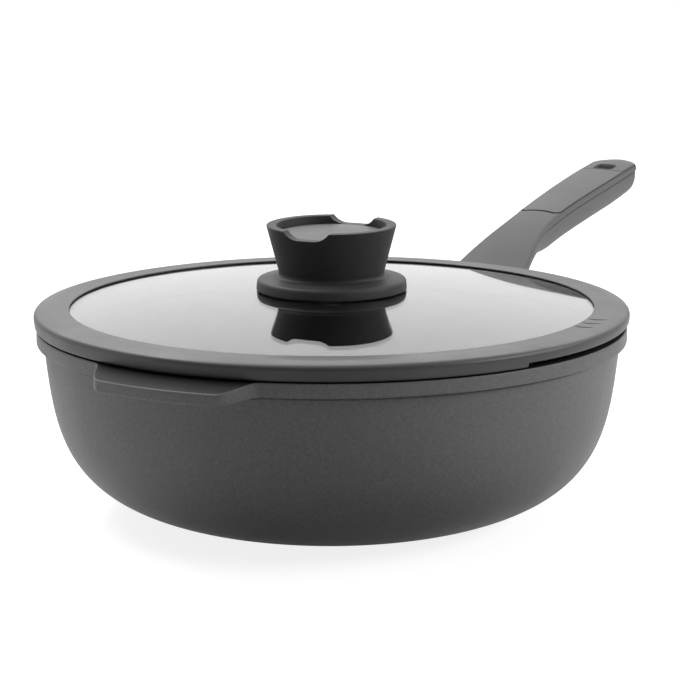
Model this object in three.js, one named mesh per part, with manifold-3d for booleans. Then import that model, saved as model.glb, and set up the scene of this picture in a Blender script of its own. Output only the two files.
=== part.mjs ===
// A cast wok with a long handle and a front lug, under a domed glass lid with a soft rim and a flared knob.
// Millimetres, +Z up. The origin is the centre of the base on the floor; the handle points along +X.

import * as THREE from 'three';
import { mergeVertices } from 'three/addons/utils/BufferGeometryUtils.js';
import Module from 'manifold-3d';

const wasm = await Module();
wasm.setup();

const degrees = THREE.MathUtils.degToRad;

// Fits between neighbouring pieces
const seatGap = 0.3; // between pieces that rest on or against each other
const cutMargin = 2; // how far a cutting body runs past the face that it opens

// Facets round the large and the small turned pieces
const roundSides = 64;
const knobSides = 36;
const screwSides = 16;

// Wok: heights are above the floor
const wokHeight = 93.2;
const rimRadius = 144;
const bandHeight = 7.2;
const bandStep = 3.4; // how far the rim band stands out from the wall below it
const bandEdge = 0.9; // rounding of the band's edges
const rimChamfer = 0.9; // inner edge of the rim
const wallThickness = 3.4;
const baseThickness = 5;
const footRadius = 74.3; // where the curved wall meets the flat base
const footLift = 0.4; // the steel plate stands this far out of the base
const wallDraft = degrees(6.7); // lean of the wall just below the band
const wallPull = 40.8; // how far down the wall keeps that lean
const baseSlope = degrees(10.9); // rise of the wall where it leaves the base
const basePull = 61.4; // how far out the wall keeps that rise
const wallSteps = 10;

// Front lug: the rim band sweeps out and down into a lip
const lugReach = 14;
const lugLipHalfAngle = degrees(11.4);
const lugRootHalfAngle = degrees(18.4);
const lugDrop = 3.8; // the lip's top lies this far under the rim
const lugSink = 2.2; // the lip's underside lies this far under the band's
const lugSteps = 10;
const bandStepAngle = degrees(7.5);

// Steel plate in the base
const plateLip = 2.6; // width of the cast lip round the plate
const plateThickness = 2;
const plateChamfer = 0.3;

// Handle: reach is measured outward from the rim, rise upward from the top of the rim
const handleReach = 179.3;
const handleRise = 42.4;
const gripSlope = degrees(8.8);
const gripPull = 130;
const neckSlope = degrees(29);
const neckPull = 79;
const neckSink = 14.6; // the top of the neck starts this far below the rim, inside the wall
const neckBury = 5; // the neck's form runs this far past the wall before it is trimmed to it
const rootHalfWidth = 25.2;
const waistHalfWidth = 12.7;
const gripHalfWidth = 14.1;
const waistReach = 72;
const gripReach = 145;
const handleEdge = 2.2; // rounding of the top's sides
const tipEdge = 3.4; // which grows to this at the tip
const handleCrown = 0.9;
const crownPoints = [0.5, 0, -0.5]; // places across the crowned top, as shares of its half-width
const neckSide = 2.4; // height of the upper shell's side wall at the neck
const gripSide = 3.9; // and along the grip
const neckDepth = 11.5; // depth of the lower shell at the neck
const gripDepth = 15.2;
const tipDepth = 13.8;
const slimReach = 46; // the neck keeps its depth to this reach
const fullReach = 74; // and the grip has its own from this one
const tipLength = 14;
const tipDrop = 2; // the top falls by this much over the rounded tip
const tipBlunt = 0.17; // share of the width left on the tip's end face
const seamStep = 0.6; // the lower shell is this much narrower at the seam
const edgeShare = 0.45; // a shoulder or a seam step takes no more than this share of the half-width
const shoulderShare = 0.9; // and a shoulder no more than this share of the side wall
const handleSteps = 18;
const tipSteps = 6;
const sectionSteps = 12;
const reachTolerance = 1e-6; // share of the top line to which a reach is found

// Hanging eye
const eyeInset = 22.8; // from its centre to the tip
const eyeWidth = 11.6;
const eyeLength = 8;
const eyeCorner = 2.4;
const eyeCornerSteps = 4;

// Soft pad on the grip
const inlayStart = 76;
const inlayArch = 2.2; // how far its end is bowed in at the eye
const inlayFrontArch = 0.8; // and its front at the neck
const inlayInset = 1;
const inlayThickness = 2.2;
const inlayEyeGap = 1.5; // between the middle of its end and the hanging eye
const inlaySteps = 8;
const inlayBowSteps = 4;

// Tang cast on the wok, and the screw that holds the handle on it
const tangReach = 64;
const tangWidth = 16;
const tangThickness = 4.2;
const tangSteps = 9;
const handleScrewReach = 40;
const handleScrewRadius = 2.5;
const handleScrewCover = 0.6; // its tip stays this far under the tang's upper face
const handleHeadRadius = 4.6;
const handleHeadHeight = 2.2;
const handleWasherRadius = 5;
const handleWasherThickness = 1;
const handleScrewGrip = 1.8; // lower shell left between the washer and the tang
const counterboreClearance = 0.5;
const slopeStep = 0.01; // share of the handle's top line over which its slope is taken

// Lid ring: a soft rim round the glass that lies on the wok's rim
const ringOverhang = 1.5; // beyond the wok's rim band
const ringTaper = 1.3; // the side leans in toward the bottom
const ringHeight = 7.6;
const ringRise = 1.5; // inner edge above the outer edge
const ringWidth = 17.7;
const ringEdge = 1.6;
const ringCrease = 8.6; // from the outer side to the crease on top
const creaseRise = 1.3; // crease above the outer edge
const ringLipEdge = 0.6;
const glassLipCover = 1.6; // the ring's lower lip reaches this much less far in than the upper one
const skirtClearance = 1.1; // between the skirt and the mouth of the wok
const skirtThickness = 3;
const skirtDepth = 7.4;
const skirtTaper = 0.8;

// Strainer slot in the ring's lower edge, with a comb of windows in the skirt behind it
const slotHalfAngle = degrees(23.3);
const slotHeight = 2.5;
const windowCount = 9;
const windowWidth = 4.2;
const windowDepth = 4;
const slotSteps = 14;

// Glass pane
const glassThickness = 4;
const glassBite = 6.5; // how far the ring grips the edge
const domeRadius = 915;
const glassUnderLip = 1; // the ring's inner lip stands this far above the glass
const domeSteps = 4;

// How the lid and its knob are turned, from the strainer slot square to the handle
const lidTurn = degrees(2.5);
const knobTurn = degrees(3.9);

// Knob
const collarRadius = 36.8;
const collarHeight = 5.4;
const collarEdge = 1.2;
const collarTaper = 0.5;
const collarCrown = 0.7; // rise of the collar's top toward the knob
const knobHeight = 25.4;
const knobFootRadius = 25.2;
const knobTopRadius = 31.8;
const knobEdge = 0.6;
const knobRim = 5; // flat edge round the dish
const knobWall = 3;
const dishDepth = 3.9; // also the depth of the notches
const dishSlant = 1; // the dish narrows by this much toward its floor
const notchWidth = 24;
const notchTaper = 3; // each side of a notch leans in by this much
const notchCorner = 4.9;
const notchSteps = 4;
const capThickness = 2.4;
const capSeat = 3; // thickness of the web that carries the cap
const bossWall = 3.4; // round the threaded insert

// Screw stack on the knob's axis
const insertRadius = 4.5;
const insertLength = 13;
const knobScrewRadius = 2.5;
const knobScrewBite = 10; // how far it enters the insert
const knobHeadRadius = 4.8;
const knobHeadHeight = 3;
const sealRadius = 9;
const sealThickness = 1.6;
const flatWasherRadius = 8;
const flatWasherThickness = 1.2;
const glassHoleClearance = 1.2; // round the screw

// A closed geometry as a solid that can be joined and cut
function solid(geometry) {
  geometry.deleteAttribute('normal');
  geometry.deleteAttribute('uv');
  const merged = mergeVertices(geometry);
  const index = merged.index.array;
  const triangles = [];
  for (let i = 0; i < index.length; i += 3) {
    const [a, b, c] = index.slice(i, i + 3);
    if (a !== b && b !== c && c !== a) triangles.push(a, b, c);
  }
  return new wasm.Manifold(new wasm.Mesh({
    numProp: 3,
    vertProperties: new Float32Array(merged.attributes.position.array),
    triVerts: new Uint32Array(triangles),
  }));
}

// A profile of [radius, height] pairs turned about Z. Pairs run up the outside and down the inside.
function turned(profile, sides) {
  const points = profile.map(([radius, height]) => new THREE.Vector2(radius, height));
  return solid(new THREE.LatheGeometry(points, sides).rotateX(Math.PI / 2));
}

// A turned profile that goes round a hole, closed on itself
function turnedRing(profile, sides) {
  return turned([...profile, profile[0]], sides);
}

// A plain round bar or disc between two heights
function disc(radius, low, high, sides) {
  return turned([[0, low], [radius, low], [radius, high], [0, high]], sides);
}

// An outline in plan, raised between two heights
function prism(shape, low, high, curveSegments = knobSides / 4) {
  const settings = { depth: high - low, bevelEnabled: false, curveSegments };
  return solid(new THREE.ExtrudeGeometry(shape, settings).translate(0, 0, low));
}

// An outline in side view, x outward and y up, drawn out to a width across the handle
function slab(shape, width) {
  const settings = { depth: width, bevelEnabled: false, curveSegments: screwSides / 4 };
  const geometry = new THREE.ExtrudeGeometry(shape, settings);
  return solid(geometry.translate(0, 0, -width / 2).rotateX(Math.PI / 2));
}

// Like outlines in a row, joined into one body: a ring closes on itself, an open row gets end faces
function lofted(outlines, ring) {
  const count = outlines[0].length;
  const positions = outlines.flat().flatMap((p) => [p.x, p.y, p.z]);
  const index = [];
  const spans = ring ? outlines.length : outlines.length - 1;
  for (let i = 0; i < spans; i += 1) {
    const here = i * count;
    const next = ((i + 1) % outlines.length) * count;
    for (let j = 0; j < count; j += 1) {
      const k = (j + 1) % count;
      index.push(here + j, here + k, next + j);
      index.push(here + k, next + k, next + j);
    }
  }
  if (!ring) {
    const last = (outlines.length - 1) * count;
    for (let j = 1; j < count - 1; j += 1) {
      index.push(0, j + 1, j);
      index.push(last, last + j, last + j + 1);
    }
  }
  const geometry = new THREE.BufferGeometry();
  geometry.setAttribute('position', new THREE.Float32BufferAttribute(positions, 3));
  geometry.setIndex(index);
  return solid(geometry);
}

// A finished solid as a named mesh
function piece(name, body, color, roughness, metalness = 0) {
  const { vertProperties, triVerts } = body.getMesh();
  const geometry = new THREE.BufferGeometry();
  geometry.setAttribute('position', new THREE.BufferAttribute(vertProperties, 3));
  geometry.setIndex(new THREE.BufferAttribute(triVerts, 1));
  geometry.computeVertexNormals();
  const material = new THREE.MeshStandardMaterial({ color, roughness, metalness });
  const mesh = new THREE.Mesh(geometry, material);
  mesh.name = name;
  return mesh;
}

// A quarter round between two directions about a centre, as [radius, height] pairs
function arc(centreRadius, centreHeight, size, from, to, steps = 3) {
  return Array.from({ length: steps + 1 }, (_, i) => {
    const angle = THREE.MathUtils.lerp(from, to, i / steps);
    return [centreRadius + size * Math.cos(angle), centreHeight + size * Math.sin(angle)];
  });
}

// Wok wall: one curve from the base to the underside of the rim band
const wallRadius = rimRadius - bandStep;
const bandBottom = wokHeight - bandHeight;
const wallCurve = new THREE.CubicBezierCurve(
  new THREE.Vector2(footRadius, footLift),
  new THREE.Vector2(footRadius + basePull * Math.cos(baseSlope), footLift + basePull * Math.sin(baseSlope)),
  new THREE.Vector2(wallRadius - wallPull * Math.sin(wallDraft), bandBottom - wallPull * Math.cos(wallDraft)),
  new THREE.Vector2(wallRadius, bandBottom),
);

// The wall curve as [radius, height] pairs, set inward by a thickness that grows toward the base
function wallPoints(atBase, atRim) {
  return Array.from({ length: wallSteps + 1 }, (_, i) => {
    const share = i / wallSteps;
    const point = wallCurve.getPoint(share);
    const along = wallCurve.getTangent(share);
    const inset = THREE.MathUtils.lerp(atBase, atRim, share);
    return [point.x - inset * along.y, point.y + inset * along.x];
  });
}

const mouthRadius = wallPoints(baseThickness, wallThickness).at(-1)[0];

// The wok's outside without its hollow, grown by a clearance on the sides
function wokOutside(clearance) {
  return turned([
    [0, footLift],
    ...wallPoints(-clearance, -clearance),
    [rimRadius + clearance, bandBottom - clearance],
    [rimRadius + clearance, wokHeight],
    [0, wokHeight],
  ], roundSides);
}

function wokWall() {
  return turned([
    [0, footLift],
    ...wallPoints(0, 0),
    [wallRadius, wokHeight],
    [0, wokHeight],
  ], roundSides);
}

function wokHollow() {
  const inner = wallPoints(baseThickness, wallThickness);
  return turned([
    [0, inner[0][1]],
    ...inner,
    [mouthRadius, wokHeight - rimChamfer],
    [mouthRadius + rimChamfer, wokHeight],
    [mouthRadius + rimChamfer, wokHeight + cutMargin],
    [0, wokHeight + cutMargin],
  ], roundSides);
}

// How much of the lug stands at an angle from its middle: 1 along the lip, 0 on the plain band
function lugShare(angle) {
  return 1 - THREE.MathUtils.smoothstep(Math.abs(angle), lugLipHalfAngle, lugRootHalfAngle);
}

// Rim band with the lug: a section that swells round the lug, carried round the rim
function rimBand() {
  const fine = lugRootHalfAngle / lugSteps;
  const plainSpan = 2 * (Math.PI - lugRootHalfAngle);
  const plainSteps = Math.round(plainSpan / bandStepAngle);
  const angles = [];
  for (let i = -lugSteps; i < lugSteps; i += 1) angles.push(i * fine);
  for (let i = 0; i < plainSteps; i += 1) angles.push(lugRootHalfAngle + (plainSpan * i) / plainSteps);
  const root = mouthRadius + wallThickness / 2;
  const outlines = angles.map((angle) => {
    const share = lugShare(angle);
    const outer = rimRadius + lugReach * share;
    const top = wokHeight - lugDrop * share;
    const bottom = bandBottom - lugSink * share;
    const section = [
      [root, bottom],
      [outer - bandEdge, bottom],
      [outer, bottom + bandEdge],
      [outer, top - bandEdge],
      [outer - bandEdge, top],
      [rimRadius - 2 * bandEdge, wokHeight],
      [root, wokHeight],
    ];
    const direction = Math.PI - angle;
    return section.map(([radius, height]) => new THREE.Vector3(
      radius * Math.cos(direction), radius * Math.sin(direction), height));
  });
  return lofted(outlines, true);
}

// Handle form: the top line, and the widths and depths that go with each reach
const neckRoot = -(bandStep + wallThickness + neckBury);
const handleTopCurve = new THREE.CubicBezierCurve(
  new THREE.Vector2(neckRoot, -neckSink),
  new THREE.Vector2(neckRoot + neckPull * Math.cos(neckSlope), neckPull * Math.sin(neckSlope) - neckSink),
  new THREE.Vector2(
    handleReach - gripPull * Math.cos(gripSlope), handleRise - gripPull * Math.sin(gripSlope)),
  new THREE.Vector2(handleReach, handleRise),
);

// Named sizes of the handle's section at one reach, with heights above the floor
function handleSection(share) {
  const { x: reach, y: rise } = handleTopCurve.getPoint(share);
  const { smoothstep, lerp } = THREE.MathUtils;
  const toWaist = smoothstep(reach, neckRoot, waistReach);
  const toGrip = smoothstep(reach, waistReach, gripReach);
  const straight = lerp(lerp(rootHalfWidth, waistHalfWidth, toWaist), gripHalfWidth, toGrip);
  const intoTip = Math.max(0, reach - (handleReach - tipLength)) / tipLength;
  const halfWidth = straight * Math.max(Math.sqrt(1 - intoTip ** 2), tipBlunt);
  const toFull = smoothstep(reach, slimReach, fullReach);
  const toTip = smoothstep(reach, gripReach, handleReach);
  const top = wokHeight + rise - tipDrop * intoTip ** 2;
  const seam = top - lerp(neckSide, gripSide, toFull);
  const depth = lerp(lerp(neckDepth, gripDepth, toFull), tipDepth, toTip);
  const edge = Math.min(
    lerp(handleEdge, tipEdge, toTip), edgeShare * halfWidth, shoulderShare * (top - seam));
  return { x: rimRadius + reach, halfWidth, top, seam, depth, edge };
}

// The top curve's share at which the handle has come out to a reach
function shareAtReach(reach) {
  let low = 0;
  let high = 1;
  while (high - low > reachTolerance) {
    const middle = (low + high) / 2;
    if (handleTopCurve.getPoint(middle).x < reach) low = middle;
    else high = middle;
  }
  return low;
}

function handleSections() {
  const tipStart = shareAtReach(handleReach - tipLength);
  const body = Array.from({ length: handleSteps }, (_, i) => (tipStart * i) / handleSteps);
  const tip = Array.from({ length: tipSteps + 1 }, (_, i) => (
    tipStart + (1 - tipStart) * Math.sin((Math.PI / 2) * (i / tipSteps))));
  return [...body, ...tip].map(handleSection);
}

// Upper shell without its pad: flat at the seam, rounded shoulders and a slight crown, moved by a lift
function upperBlank(lift) {
  const outlines = handleSections().map(({ x, halfWidth, top, seam, edge }) => {
    const flat = halfWidth - edge;
    const crown = (handleCrown * halfWidth) / gripHalfWidth;
    const shoulder = arc(flat, top - edge, edge, 0, Math.PI / 2);
    const crest = crownPoints.map((share) => [flat * share, top + crown * (1 - share ** 2)]);
    const mirrored = shoulder.map(([y, z]) => [-y, z]).reverse();
    const section = [[-halfWidth, seam], [halfWidth, seam], ...shoulder, ...crest, ...mirrored];
    return section.map(([y, z]) => new THREE.Vector3(x, y, z + lift));
  });
  return lofted(outlines, false);
}

// Lower shell blank: flat at the seam with a round belly
function lowerBlank() {
  const outlines = handleSections().map(({ x, halfWidth, seam, depth }) => (
    Array.from({ length: sectionSteps + 1 }, (_, i) => {
      const angle = Math.PI * (1 + i / sectionSteps);
      const half = halfWidth - Math.min(seamStep, edgeShare * halfWidth);
      return new THREE.Vector3(x, half * Math.cos(angle), seam - seatGap + depth * Math.sin(angle));
    })
  ));
  return lofted(outlines, false);
}

const eyeX = rimRadius + handleReach - eyeInset;

// Upright cutter for the hanging eye: an oblong across the handle with round corners
function hangingEye() {
  const alongHalf = eyeLength / 2 - eyeCorner;
  const acrossHalf = eyeWidth / 2 - eyeCorner;
  const quarter = Math.PI / 2;
  const shape = new THREE.Shape();
  [[1, 1], [-1, 1], [-1, -1], [1, -1]].forEach(([alongSide, acrossSide], i) => {
    shape.absarc(
      eyeX + alongSide * alongHalf, acrossSide * acrossHalf, eyeCorner, i * quarter, (i + 1) * quarter);
  });
  const depth = gripSide + gripDepth + handleRise;
  return prism(shape, wokHeight + handleRise - depth, wokHeight + handleRise + depth, eyeCornerSteps);
}

// Plan outline of the soft pad, grown by a clearance: it follows the shell's edge and bows at both ends
function inlayOutline(clearance) {
  const end = handleReach - eyeInset - eyeLength / 2 - inlayEyeGap + inlayArch;
  const side = Array.from({ length: inlaySteps + 1 }, (_, i) => {
    const reach = THREE.MathUtils.lerp(inlayStart - clearance, end + clearance, i / inlaySteps);
    const { x, halfWidth } = handleSection(shareAtReach(reach));
    return new THREE.Vector2(x, halfWidth - inlayInset + clearance);
  });
  const front = side[0];
  const back = side.at(-1);
  const shape = new THREE.Shape();
  shape.moveTo(front.x, -front.y);
  side.slice(1).forEach(({ x, y }) => shape.lineTo(x, -y));
  shape.quadraticCurveTo(back.x - 2 * inlayArch, 0, back.x, back.y);
  side.slice(0, -1).reverse().forEach(({ x, y }) => shape.lineTo(x, y));
  shape.quadraticCurveTo(front.x + 2 * inlayFrontArch, 0, front.x, -front.y);
  return shape;
}

// The upright column over a plan outline, from well under the handle's grip to well over it
function gripColumn(shape) {
  return prism(shape, wokHeight, wokHeight + 2 * handleRise, inlayBowSteps);
}

// The cast tang: a tongue that follows the seam inside the lower shell, grown by a clearance
function tang(clearance) {
  const end = shareAtReach(tangReach + clearance);
  const top = Array.from({ length: tangSteps + 1 }, (_, i) => {
    const { x, seam } = handleSection((end * i) / tangSteps);
    return new THREE.Vector2(x, seam - 2 * seatGap + clearance);
  });
  const drop = tangThickness + 2 * clearance;
  const bottom = top.map(({ x, y }) => new THREE.Vector2(x, y - drop)).reverse();
  return slab(new THREE.Shape([...top, ...bottom]), tangWidth + 2 * clearance);
}

// The handle screw stands square to the tang, at a foot on the tang's underside
const screwShare = shareAtReach(handleScrewReach);
const screwSection = handleSection(screwShare);
const screwFoot = new THREE.Vector2(screwSection.x, screwSection.seam - 2 * seatGap - tangThickness);
const seamAhead = handleSection(screwShare + slopeStep);
const screwTilt = Math.atan2(seamAhead.seam - screwSection.seam, seamAhead.x - screwSection.x);
const screwTip = tangThickness * Math.cos(screwTilt) - handleScrewCover;
const washerTop = -handleScrewGrip;
const washerBottom = washerTop - handleWasherThickness;
const headTop = washerBottom - seatGap;

// A round bar about that screw's axis, between two distances from the foot
function alongScrew(radius, low, high) {
  const bar = new THREE.CylinderGeometry(radius, radius, high - low, screwSides).rotateX(Math.PI / 2);
  bar.translate(0, 0, (low + high) / 2).rotateY(-screwTilt).translate(screwFoot.x, 0, screwFoot.y);
  return solid(bar);
}

function wokBody() {
  const plateSeat = disc(
    footRadius - plateLip + seatGap, -cutMargin, plateThickness + seatGap, roundSides);
  const tap = alongScrew(handleScrewRadius + seatGap, -cutMargin, tangThickness + cutMargin);
  return wokWall().add(rimBand()).add(tang(0)).subtract(wokHollow()).subtract(plateSeat).subtract(tap);
}

function inductionPlate() {
  const radius = footRadius - plateLip;
  return turned([
    [0, 0],
    [radius - plateChamfer, 0],
    [radius, plateChamfer],
    [radius, plateThickness],
    [0, plateThickness],
  ], roundSides);
}

function handleUpper() {
  const pocket = gripColumn(inlayOutline(seatGap)).subtract(upperBlank(-inlayThickness - seatGap));
  return upperBlank(0).subtract(pocket).subtract(hangingEye()).subtract(wokOutside(seatGap));
}

function handleLower() {
  const bore = alongScrew(handleScrewRadius + seatGap, -neckDepth, cutMargin);
  const counterbore = alongScrew(handleWasherRadius + counterboreClearance, -neckDepth, washerTop + seatGap);
  return lowerBlank()
    .subtract(tang(seatGap))
    .subtract(bore)
    .subtract(counterbore)
    .subtract(hangingEye())
    .subtract(wokOutside(seatGap));
}

function handleInlay() {
  return upperBlank(0).intersect(gripColumn(inlayOutline(0))).subtract(upperBlank(-inlayThickness));
}

function handleScrew() {
  const head = alongScrew(handleHeadRadius, headTop - handleHeadHeight, headTop);
  const shank = alongScrew(handleScrewRadius, headTop - handleHeadHeight / 2, screwTip);
  return head.add(shank);
}

function handleWasher() {
  const ring = alongScrew(handleWasherRadius, washerBottom, washerTop);
  const hole = alongScrew(handleScrewRadius + seatGap, washerBottom - cutMargin, washerTop + cutMargin);
  return ring.subtract(hole);
}

// Lid heights: the ring lies on the rim, and the glass lies under the ring's inner lip
const ringBottom = wokHeight + seatGap;
const ringTop = ringBottom + ringHeight;
const ringRadius = rimRadius + ringOverhang;
const ringInner = ringRadius - ringWidth;
const glassRadius = ringInner + glassBite;
const glassEdgeTop = ringTop + ringRise - glassUnderLip;
const skirtOuter = mouthRadius - skirtClearance;
const skirtInner = skirtOuter - skirtThickness;

// Height of the glass's upper face at a radius
function domeHeight(radius) {
  const sag = (r) => domeRadius - Math.sqrt(domeRadius ** 2 - r ** 2);
  return glassEdgeTop + sag(ringInner) - sag(radius);
}

// The pane, grown by a clearance, with a hole of the given radius
function domedPane(clearance, hole) {
  const outer = glassRadius + clearance;
  const radii = Array.from({ length: domeSteps + 1 }, (_, i) => (
    THREE.MathUtils.lerp(hole, outer, i / domeSteps)));
  const under = radii.map((r) => [r, domeHeight(r) - glassThickness - clearance]);
  const over = radii.map((r) => [r, domeHeight(r) + clearance]).reverse();
  return turnedRing([...under, ...over], roundSides);
}

const glassHole = knobScrewRadius + glassHoleClearance;

function lidGlass() {
  return domedPane(0, glassHole);
}

// The slot's sector: a curved block under the ring's overhang, from the skirt outward
function slotSector() {
  const middle = -Math.PI / 2;
  const shape = new THREE.Shape();
  shape.absarc(0, 0, ringRadius + cutMargin, middle - slotHalfAngle, middle + slotHalfAngle, false);
  shape.absarc(0, 0, skirtOuter, middle + slotHalfAngle, middle - slotHalfAngle, true);
  return prism(shape, ringBottom - cutMargin, ringBottom + slotHeight, slotSteps);
}

// One window of the comb: a block through the skirt, turned to its place in the slot
function skirtWindow(angle) {
  const inner = ringInner - cutMargin;
  const outer = skirtOuter + cutMargin;
  const box = new THREE.BoxGeometry(outer - inner, windowWidth, windowDepth + slotHeight);
  box.translate((inner + outer) / 2, 0, ringBottom + (slotHeight - windowDepth) / 2);
  return solid(box.rotateZ(angle));
}

function lidRing() {
  const lipRadius = ringInner + glassLipCover;
  const side = ringTop - ringEdge;
  const blank = turnedRing([
    [skirtInner, ringBottom - skirtDepth],
    [skirtOuter - skirtTaper, ringBottom - skirtDepth],
    [skirtOuter, ringBottom - skirtDepth + 2 * skirtTaper],
    [skirtOuter, ringBottom],
    [ringRadius - ringTaper, ringBottom],
    ...arc(ringRadius - ringEdge, side, ringEdge, 0, Math.PI / 2),
    [ringRadius - ringCrease, ringTop + creaseRise],
    [ringInner + ringLipEdge, ringTop + ringRise],
    [ringInner, ringTop + ringRise - ringLipEdge],
    [ringInner, glassEdgeTop - glassThickness / 2],
    [lipRadius, glassEdgeTop - glassThickness / 2],
    [lipRadius, ringBottom],
    [skirtInner, ringBottom],
  ], roundSides);
  const pane = domedPane(seatGap, ringInner - cutMargin);
  let ring = blank.subtract(pane).subtract(slotSector());
  const pitch = (2 * slotHalfAngle) / (windowCount + 1);
  for (let i = 1; i <= windowCount; i += 1) {
    ring = ring.subtract(skirtWindow(-Math.PI / 2 - slotHalfAngle + i * pitch));
  }
  return ring;
}

// Heights up the knob's axis
const collarTop = domeHeight(collarRadius) + seatGap + collarHeight;
const knobBottom = collarTop + collarCrown + seatGap;
const knobTop = knobBottom + knobHeight;
const dishFloor = knobTop - dishDepth;
const capBottom = dishFloor - capThickness;
const webTop = capBottom - seatGap;
const webBottom = webTop - capSeat;
const dishFloorRadius = knobTopRadius - knobRim - dishSlant;
const screwHole = knobScrewRadius + seatGap;

// Base disc of the knob: its underside follows the dome of the glass
function knobCollar() {
  const under = [screwHole, collarRadius / 2, collarRadius - collarEdge];
  return turnedRing([
    ...under.map((r) => [r, domeHeight(r) + seatGap]),
    [collarRadius, domeHeight(collarRadius) + seatGap + collarEdge],
    ...arc(collarRadius - collarTaper - collarEdge, collarTop - collarEdge, collarEdge, 0, Math.PI / 2),
    [knobFootRadius, collarTop + collarCrown],
    [screwHole, collarTop + collarCrown],
  ], knobSides);
}

// Radius of the knob's flared side at a height
function flare(height) {
  return THREE.MathUtils.mapLinear(height, knobBottom, knobTop, knobFootRadius, knobTopRadius);
}

// Cutter for both spoon notches: a channel with leaning sides and round lower corners across the knob
function notchChannel() {
  const top = knobTop + cutMargin;
  const lean = (height) => (notchTaper / dishDepth) * height;
  const half = notchWidth / 2 - notchTaper;
  const bend = notchCorner / 2;
  const shape = new THREE.Shape();
  shape.moveTo(-half - lean(top - dishFloor), top);
  shape.lineTo(-half - lean(bend), dishFloor + bend);
  shape.quadraticCurveTo(-half, dishFloor, -half + notchCorner, dishFloor);
  shape.lineTo(half - notchCorner, dishFloor);
  shape.quadraticCurveTo(half, dishFloor, half + lean(bend), dishFloor + bend);
  shape.lineTo(half + lean(top - dishFloor), top);
  const geometry = new THREE.ExtrudeGeometry(shape, {
    depth: 2 * (knobTopRadius + cutMargin),
    bevelEnabled: false,
    curveSegments: notchSteps,
  });
  geometry.translate(0, 0, -knobTopRadius - cutMargin).rotateX(Math.PI / 2).rotateZ(Math.PI / 2);
  return solid(geometry);
}

// Flared knob: a shell open at the bottom, a web under the cap and a boss round the threaded insert
function knobBody() {
  const shell = turned([
    [0, knobBottom],
    [knobFootRadius, knobBottom],
    [knobTopRadius - knobEdge, knobTop - knobEdge],
    [knobTopRadius - 2 * knobEdge, knobTop],
    [knobTopRadius - knobRim, knobTop],
    [dishFloorRadius, dishFloor],
    [dishFloorRadius, webTop],
    [0, webTop],
  ], knobSides);
  const boss = insertRadius + seatGap + bossWall;
  const hollow = turnedRing([
    [boss, knobBottom - cutMargin],
    [flare(knobBottom - cutMargin) - knobWall, knobBottom - cutMargin],
    [Math.min(flare(webBottom) - knobWall, dishFloorRadius), webBottom],
    [boss, webBottom],
  ], knobSides);
  const socketTop = knobBottom + insertLength + 2 * seatGap;
  const socket = disc(insertRadius + seatGap, knobBottom - cutMargin, socketTop, screwSides);
  return shell.subtract(hollow).subtract(socket).subtract(notchChannel());
}

function knobCap() {
  const radius = dishFloorRadius - seatGap;
  return disc(radius, capBottom, dishFloor, knobSides);
}

function knobInsert() {
  const bottom = knobBottom + seatGap;
  const ring = disc(insertRadius, bottom, bottom + insertLength, screwSides);
  return ring.subtract(disc(screwHole, bottom - cutMargin, bottom + insertLength + cutMargin, screwSides));
}

// Screw stack under the glass: soft seal, flat washer, screw head
const sealTop = domeHeight(sealRadius) - glassThickness - seatGap;
const flatWasherTop = sealTop - sealThickness - seatGap;
const knobHeadTop = flatWasherTop - flatWasherThickness - seatGap;

function washer(radius, top, thickness) {
  const hole = disc(screwHole, top - thickness - cutMargin, top + cutMargin, screwSides);
  return disc(radius, top - thickness, top, knobSides / 2).subtract(hole);
}

function seal() {
  return washer(sealRadius, sealTop, sealThickness);
}

function flatWasher() {
  return washer(flatWasherRadius, flatWasherTop, flatWasherThickness);
}

function knobScrew() {
  const head = disc(knobHeadRadius, knobHeadTop - knobHeadHeight, knobHeadTop, screwSides);
  const tip = knobBottom + seatGap + knobScrewBite;
  return head.add(disc(knobScrewRadius, knobHeadTop - knobHeadHeight / 2, tip, screwSides));
}

// Assembly: the wok with its handle, and the lid as a group turned on the wok
const wok = new THREE.Group();
wok.add(piece('wok_body', wokBody(), 0x4a4b4d, 0.62, 0.25));
wok.add(piece('induction_plate', inductionPlate(), 0xa9aaac, 0.35, 1));
wok.add(piece('handle_upper', handleUpper(), 0x5c5d5f, 0.6));
wok.add(piece('handle_lower', handleLower(), 0x525355, 0.6));
wok.add(piece('handle_inlay', handleInlay(), 0x66686b, 0.7));
wok.add(piece('handle_screw', handleScrew(), 0xb4b5b6, 0.3, 1));
wok.add(piece('handle_washer', handleWasher(), 0xa2a3a4, 0.35, 1));

const knob = new THREE.Group();
knob.rotation.z = knobTurn;
knob.add(piece('knob_collar', knobCollar(), 0x2e2f31, 0.5));
knob.add(piece('knob_body', knobBody(), 0x2b2c2e, 0.5));
knob.add(piece('knob_cap', knobCap(), 0x47484a, 0.65));
knob.add(piece('knob_insert', knobInsert(), 0xb89550, 0.35, 1));

const lid = new THREE.Group();
lid.rotation.z = lidTurn;
lid.add(piece('lid_glass', lidGlass(), 0xe4e8ea, 0.05));
lid.add(piece('lid_ring', lidRing(), 0x58595b, 0.7));
lid.add(piece('knob_screw', knobScrew(), 0xb4b5b6, 0.3, 1));
lid.add(piece('knob_washer', flatWasher(), 0xa2a3a4, 0.35, 1));
lid.add(piece('knob_seal', seal(), 0x3a3b3d, 0.75));
lid.add(knob);

const assembly = new THREE.Group();
assembly.add(wok, lid);

export default assembly;
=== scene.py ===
# A cast wok with a long handle and a front lug, under a domed glass lid with a soft rim and a flared knob.
# Sizes are in millimetres and meshes in metres, in the solids' own frame: +Z up, the handle along +X.

import math

import bmesh
import bpy
from mathutils import Matrix, Vector


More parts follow.
